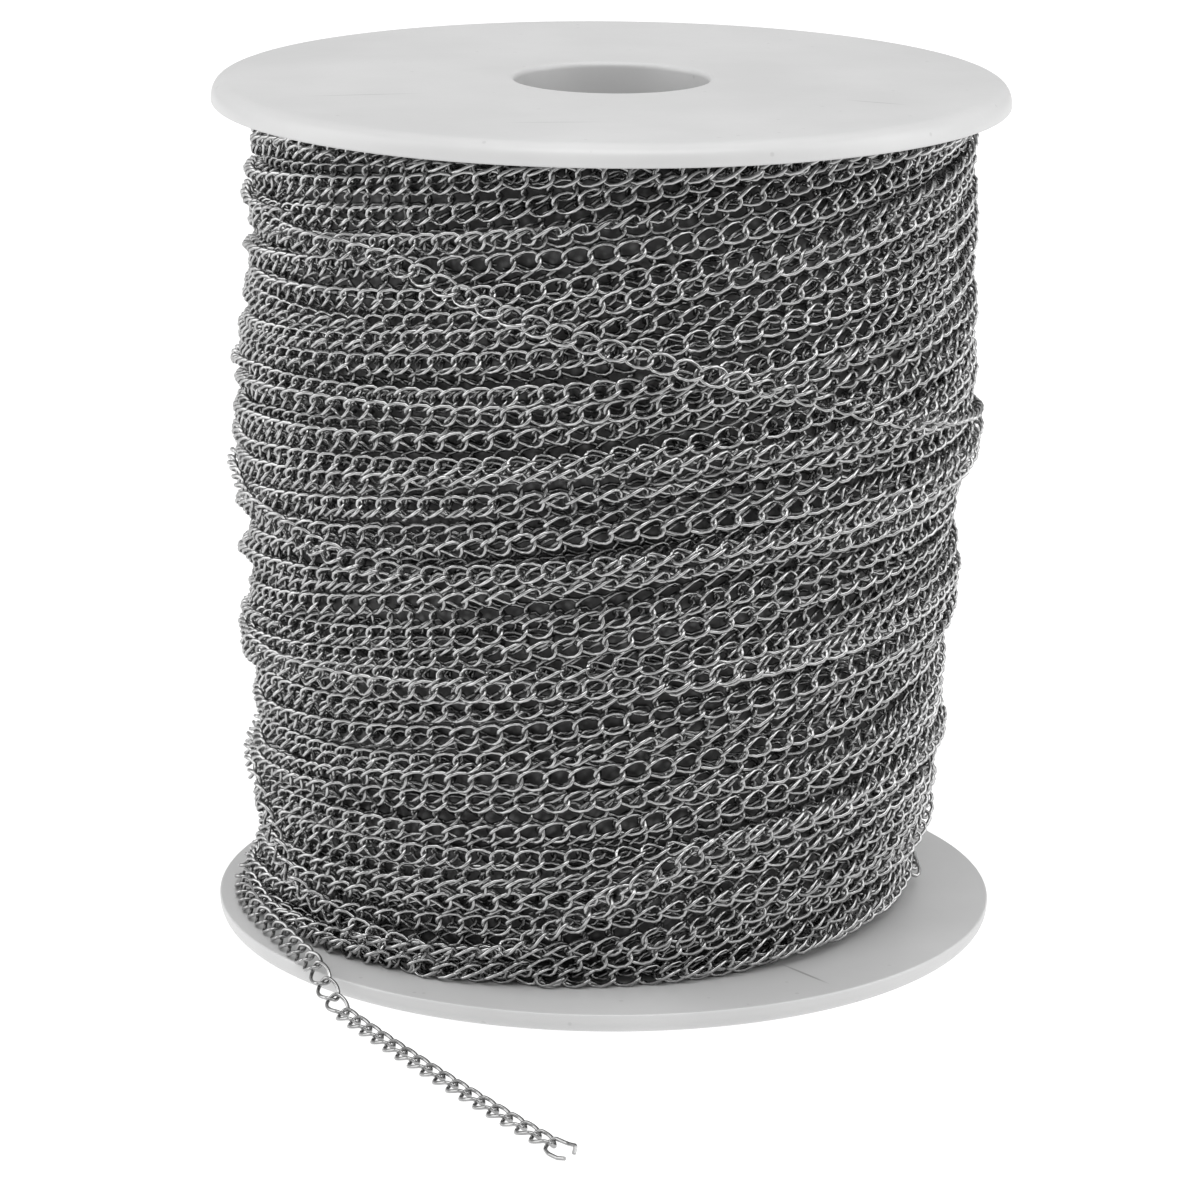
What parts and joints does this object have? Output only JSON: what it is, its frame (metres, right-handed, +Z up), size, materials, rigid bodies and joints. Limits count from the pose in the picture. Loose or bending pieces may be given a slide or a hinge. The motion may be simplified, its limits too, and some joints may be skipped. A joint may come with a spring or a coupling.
{
  "type": "spool of curb chain",
  "caption": "White plastic spool with a through bore, wound with fine twisted curb chain of steel wire, its free end of hooked links lying on the table.",
  "frame": {"origin": "centre of the spindle bore at the base the spool stands on", "axes": "+Z up along the bore; the free end of the chain lies towards -Y"},
  "size_m": [0.09, 0.1271, 0.098],
  "materials": {
    "spool_plastic": "satin",
    "chain_wire": "gloss"
  },
  "bodies": {
    "spool": {"lower_flange": "spool_plastic", "upper_flange": "spool_plastic", "core_tube": "spool_plastic", "wound_chain_inner": "chain_wire", "wound_chain_outer": "chain_wire", "wound_end_links": "chain_wire"},
    "link_01": {"chain_link_01": "chain_wire"},
    "link_02": {"chain_link_02": "chain_wire"},
    "link_03": {"chain_link_03": "chain_wire"},
    "link_04": {"chain_link_04": "chain_wire"},
    "link_05": {"chain_link_05": "chain_wire"},
    "link_06": {"chain_link_06": "chain_wire"},
    "link_07": {"chain_link_07": "chain_wire"},
    "link_08": {"chain_link_08": "chain_wire"},
    "link_09": {"chain_link_09": "chain_wire"},
    "link_10": {"chain_link_10": "chain_wire"},
    "link_11": {"chain_link_11": "chain_wire"},
    "link_12": {"chain_link_12": "chain_wire"},
    "link_13": {"chain_link_13": "chain_wire"},
    "link_14": {"chain_link_14": "chain_wire"},
    "link_15": {"chain_link_15": "chain_wire"},
    "link_16": {"chain_link_16": "chain_wire"},
    "link_17": {"chain_link_17": "chain_wire"},
    "link_18": {"chain_link_18": "chain_wire"},
    "link_19": {"chain_link_19": "chain_wire"},
    "link_20": {"chain_link_20": "chain_wire"},
    "link_21": {"chain_link_21": "chain_wire"},
    "link_22": {"chain_link_22": "chain_wire"},
    "link_23": {"chain_link_23": "chain_wire"},
    "link_24": {"chain_link_24": "chain_wire"},
    "link_25": {"chain_link_25": "chain_wire"},
    "link_26": {"chain_link_26": "chain_wire"},
    "end_link": {"open_end_link": "chain_wire"}
  },
  "joints": [
    {"name": "link_01_sideways", "type": "hinge", "parent": "spool", "child": "link_01", "pos_m": [-0.03952, -0.01509, 0.00357], "axis": [0, 0, -1], "range_deg": [0, 15]},
    {"name": "link_02_lift", "type": "hinge", "parent": "link_01", "child": "link_02", "pos_m": [-0.03844, -0.01766, 0.00357], "axis": [-0.9219, -0.3873, 0], "range_deg": [0, 15]},
    {"name": "link_03_sideways", "type": "hinge", "parent": "link_02", "child": "link_03", "pos_m": [-0.03736, -0.02023, 0.00357], "axis": [0, 0, -1], "range_deg": [0, 15]},
    {"name": "link_04_lift", "type": "hinge", "parent": "link_03", "child": "link_04", "pos_m": [-0.03628, -0.02281, 0.00357], "axis": [-0.9219, -0.3873, 0], "range_deg": [0, 15]},
    {"name": "link_05_sideways", "type": "hinge", "parent": "link_04", "child": "link_05", "pos_m": [-0.03519, -0.02538, 0.00357], "axis": [0, 0, -1], "range_deg": [0, 15]},
    {"name": "link_06_lift", "type": "hinge", "parent": "link_05", "child": "link_06", "pos_m": [-0.03411, -0.02795, 0.00357], "axis": [-0.9219, -0.3873, 0], "range_deg": [0, 15]},
    {"name": "link_07_sideways", "type": "hinge", "parent": "link_06", "child": "link_07", "pos_m": [-0.03303, -0.03052, 0.00357], "axis": [0, 0, -1], "range_deg": [0, 15]},
    {"name": "link_08_lift", "type": "hinge", "parent": "link_07", "child": "link_08", "pos_m": [-0.03195, -0.03309, 0.00357], "axis": [-0.9219, -0.3873, 0], "range_deg": [0, 15]},
    {"name": "link_09_sideways", "type": "hinge", "parent": "link_08", "child": "link_09", "pos_m": [-0.03094, -0.03549, 0.00257], "axis": [0, 0, -1], "range_deg": [0, 15]},
    {"name": "link_10_lift", "type": "hinge", "parent": "link_09", "child": "link_10", "pos_m": [-0.02981, -0.03784, 0.00156], "axis": [-0.8886, -0.4586, 0], "range_deg": [-12, 15]},
    {"name": "link_11_sideways", "type": "hinge", "parent": "link_10", "child": "link_11", "pos_m": [-0.02854, -0.04015, 0.00065], "axis": [0, 0, -1], "range_deg": [-12, 15]},
    {"name": "link_12_lift", "type": "hinge", "parent": "link_11", "child": "link_12", "pos_m": [-0.02719, -0.04259, 0.00065], "axis": [-0.8726, -0.4884, 0], "range_deg": [-12, 15]},
    {"name": "link_13_sideways", "type": "hinge", "parent": "link_12", "child": "link_13", "pos_m": [-0.02582, -0.04502, 0.00065], "axis": [0, 0, -1], "range_deg": [-12, 15]},
    {"name": "link_14_lift", "type": "hinge", "parent": "link_13", "child": "link_14", "pos_m": [-0.02443, -0.04744, 0.00065], "axis": [-0.8674, -0.4976, 0], "range_deg": [-12, 15]},
    {"name": "link_15_sideways", "type": "hinge", "parent": "link_14", "child": "link_15", "pos_m": [-0.02304, -0.04986, 0.00065], "axis": [0, 0, -1], "range_deg": [-12, 15]},
    {"name": "link_16_lift", "type": "hinge", "parent": "link_15", "child": "link_16", "pos_m": [-0.02163, -0.05227, 0.00065], "axis": [-0.8622, -0.5066, 0], "range_deg": [-12, 15]},
    {"name": "link_17_sideways", "type": "hinge", "parent": "link_16", "child": "link_17", "pos_m": [-0.02021, -0.05467, 0.00065], "axis": [0, 0, -1], "range_deg": [-12, 15]},
    {"name": "link_18_lift", "type": "hinge", "parent": "link_17", "child": "link_18", "pos_m": [-0.01878, -0.05706, 0.00065], "axis": [-0.8568, -0.5156, 0], "range_deg": [-12, 15]},
    {"name": "link_19_sideways", "type": "hinge", "parent": "link_18", "child": "link_19", "pos_m": [-0.01734, -0.05945, 0.00065], "axis": [0, 0, -1], "range_deg": [-12, 15]},
    {"name": "link_20_lift", "type": "hinge", "parent": "link_19", "child": "link_20", "pos_m": [-0.01588, -0.06183, 0.00065], "axis": [-0.8514, -0.5246, 0], "range_deg": [-12, 15]},
    {"name": "link_21_sideways", "type": "hinge", "parent": "link_20", "child": "link_21", "pos_m": [-0.01441, -0.0642, 0.00065], "axis": [0, 0, -1], "range_deg": [-12, 15]},
    {"name": "link_22_lift", "type": "hinge", "parent": "link_21", "child": "link_22", "pos_m": [-0.01293, -0.06656, 0.00065], "axis": [-0.8458, -0.5334, 0], "range_deg": [-12, 15]},
    {"name": "link_23_sideways", "type": "hinge", "parent": "link_22", "child": "link_23", "pos_m": [-0.01143, -0.06892, 0.00065], "axis": [0, 0, -1], "range_deg": [-12, 15]},
    {"name": "link_24_lift", "type": "hinge", "parent": "link_23", "child": "link_24", "pos_m": [-0.00993, -0.07127, 0.00065], "axis": [-0.8402, -0.5423, 0], "range_deg": [-12, 15]},
    {"name": "link_25_sideways", "type": "hinge", "parent": "link_24", "child": "link_25", "pos_m": [-0.00841, -0.07361, 0.00065], "axis": [0, 0, -1], "range_deg": [-12, 15]},
    {"name": "link_26_lift", "type": "hinge", "parent": "link_25", "child": "link_26", "pos_m": [-0.00688, -0.07594, 0.00065], "axis": [-0.8345, -0.551, 0], "range_deg": [-12, 15]},
    {"name": "link_27_sideways", "type": "hinge", "parent": "link_26", "child": "end_link", "pos_m": [-0.00533, -0.07826, 0.00065], "axis": [0, 0, -1], "range_deg": [-12, 15]}
  ]
}
